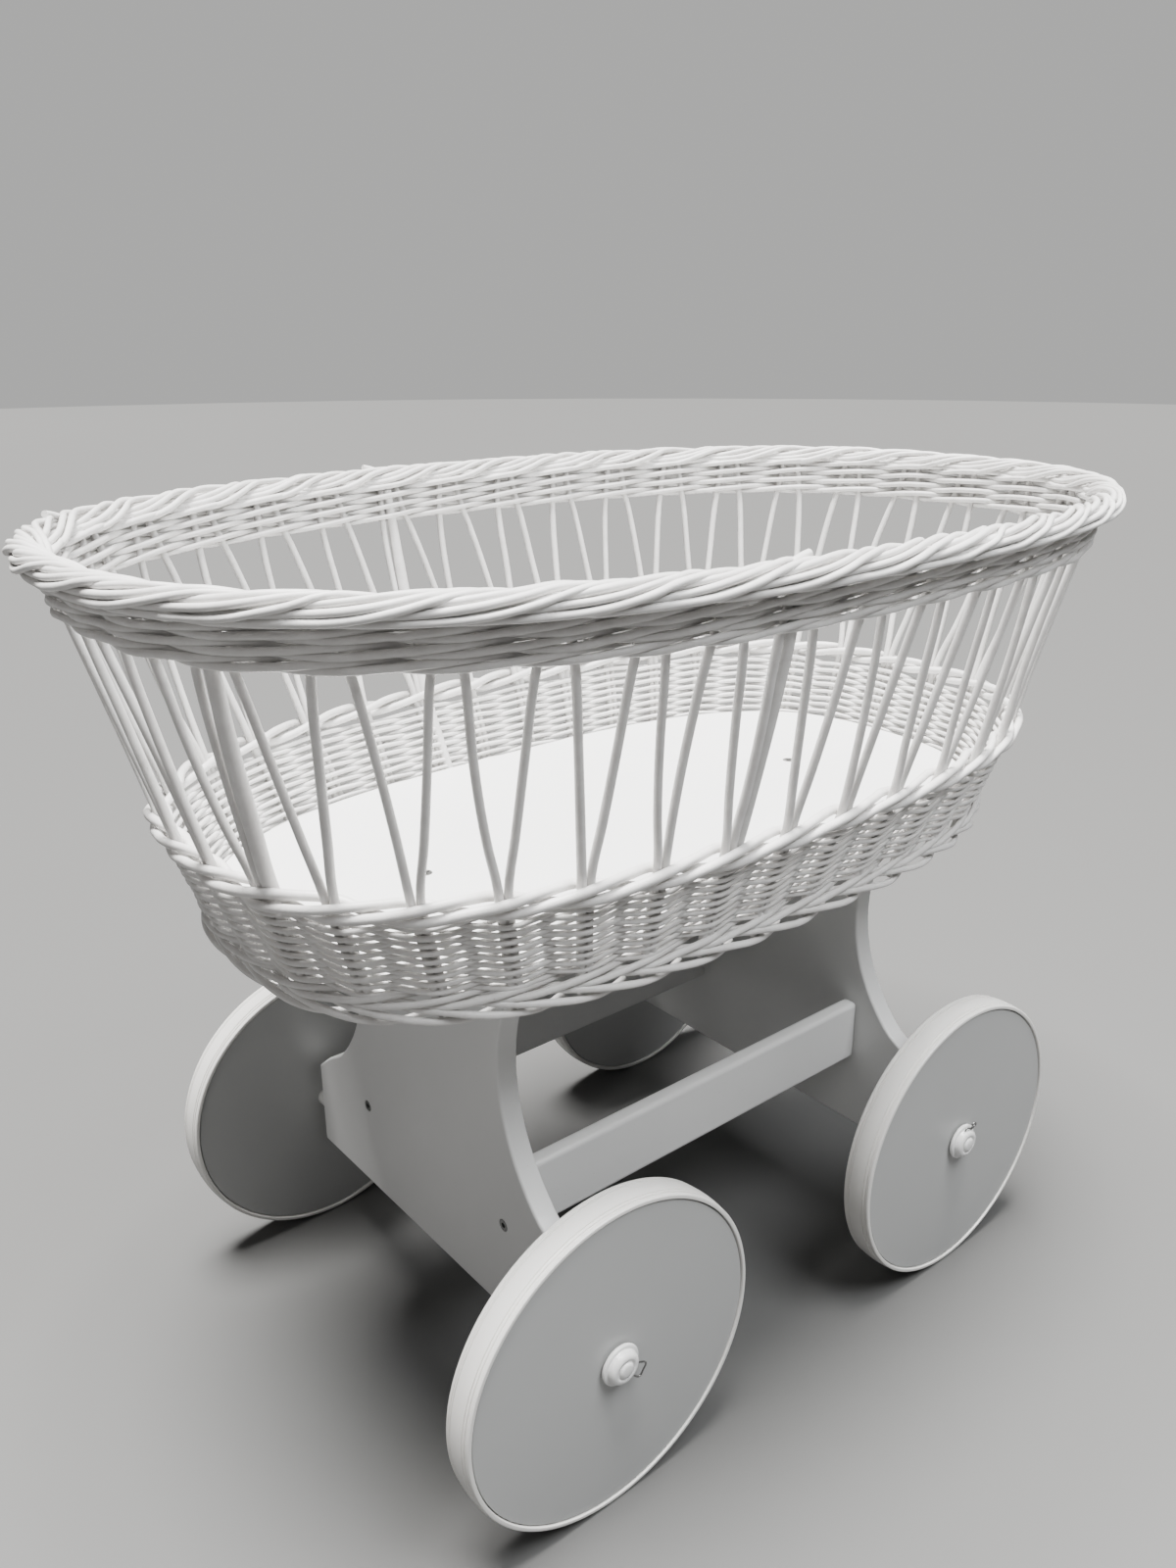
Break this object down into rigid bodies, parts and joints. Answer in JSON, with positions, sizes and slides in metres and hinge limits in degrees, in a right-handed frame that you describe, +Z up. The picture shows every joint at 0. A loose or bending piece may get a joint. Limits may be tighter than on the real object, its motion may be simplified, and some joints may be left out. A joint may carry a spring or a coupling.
{
  "type": "bassinet on stand",
  "caption": "Oval open-weave wicker bassinet screwed to a low stand of two shaped end panels and two stretchers, rolling on large disc wheels.",
  "frame": {"origin": "on the floor under the middle of the basket, the centre of the bounding box's base", "axes": "+Z up, +X along the length and the rolling direction, +Y across, along the wheel axles"},
  "size_m": [0.946, 0.613, 0.7235],
  "materials": {
    "painted_willow": "white paint sprayed over woven willow, satin",
    "lacquered_board": "white satin lacquer on fibreboard",
    "wheel_disc_face": "pale grey-white satin lacquer on fibreboard",
    "moulded_tyre": "smooth off-white moulded tyre",
    "moulded_cap": "white, softly glossy",
    "zinc_plated_steel": "bright zinc plating",
    "nylon": "natural off-white nylon",
    "beech_dowel": "bare beech"
  },
  "bodies": {
    "cradle": {"foot_border": "painted_willow", "lower_wall": "painted_willow", "waist_wale": "painted_willow", "upper_band": "painted_willow", "rim_border": "painted_willow", "stake_group_1": "painted_willow", "stake_group_2": "painted_willow", "stake_group_3": "painted_willow", "stake_group_4": "painted_willow", "stake_group_5": "painted_willow", "stake_group_6": "painted_willow", "stake_group_7": "painted_willow", "stake_group_8": "painted_willow", "stake_group_9": "painted_willow", "thick_post_1": "painted_willow", "thick_post_2": "painted_willow", "thick_post_3": "painted_willow", "base_board": "lacquered_board", "end_panel_left": "lacquered_board", "board_screw_left": "zinc_plated_steel", "end_panel_right": "lacquered_board", "board_screw_right": "zinc_plated_steel", "stretcher_near": "lacquered_board", "stretcher_far": "lacquered_board", "joint_screw_near_left": "zinc_plated_steel", "dowel_near_left": "beech_dowel", "axle_near_left": "zinc_plated_steel", "collar_near_left": "nylon", "hub_cap_near_left": "moulded_cap", "wire_clip_near_left": "zinc_plated_steel", "joint_screw_near_right": "zinc_plated_steel", "dowel_near_right": "beech_dowel", "axle_near_right": "zinc_plated_steel", "collar_near_right": "nylon", "hub_cap_near_right": "moulded_cap", "wire_clip_near_right": "zinc_plated_steel", "joint_screw_far_left": "zinc_plated_steel", "dowel_far_left": "beech_dowel", "axle_far_left": "zinc_plated_steel", "collar_far_left": "nylon", "hub_cap_far_left": "moulded_cap", "wire_clip_far_left": "zinc_plated_steel", "joint_screw_far_right": "zinc_plated_steel", "dowel_far_right": "beech_dowel", "axle_far_right": "zinc_plated_steel", "collar_far_right": "nylon", "hub_cap_far_right": "moulded_cap", "wire_clip_far_right": "zinc_plated_steel"},
    "wheel_near_left": {"tyre_near_left": "moulded_tyre", "wheel_disc_near_left": "wheel_disc_face", "bush_near_left": "nylon"},
    "wheel_near_right": {"tyre_near_right": "moulded_tyre", "wheel_disc_near_right": "wheel_disc_face", "bush_near_right": "nylon"},
    "wheel_far_left": {"tyre_far_left": "moulded_tyre", "wheel_disc_far_left": "wheel_disc_face", "bush_far_left": "nylon"},
    "wheel_far_right": {"tyre_far_right": "moulded_tyre", "wheel_disc_far_right": "wheel_disc_face", "bush_far_right": "nylon"}
  },
  "joints": [
    {"name": "wheel_near_left_spin", "type": "hinge", "parent": "cradle", "child": "wheel_near_left", "pos_m": [-0.21, -0.221, 0.135], "axis": [0, 1, 0], "continuous": true},
    {"name": "wheel_near_right_spin", "type": "hinge", "parent": "cradle", "child": "wheel_near_right", "pos_m": [0.21, -0.221, 0.135], "axis": [0, 1, 0], "continuous": true},
    {"name": "wheel_far_left_spin", "type": "hinge", "parent": "cradle", "child": "wheel_far_left", "pos_m": [-0.21, 0.221, 0.135], "axis": [0, 1, 0], "continuous": true},
    {"name": "wheel_far_right_spin", "type": "hinge", "parent": "cradle", "child": "wheel_far_right", "pos_m": [0.21, 0.221, 0.135], "axis": [0, 1, 0], "continuous": true}
  ]
}
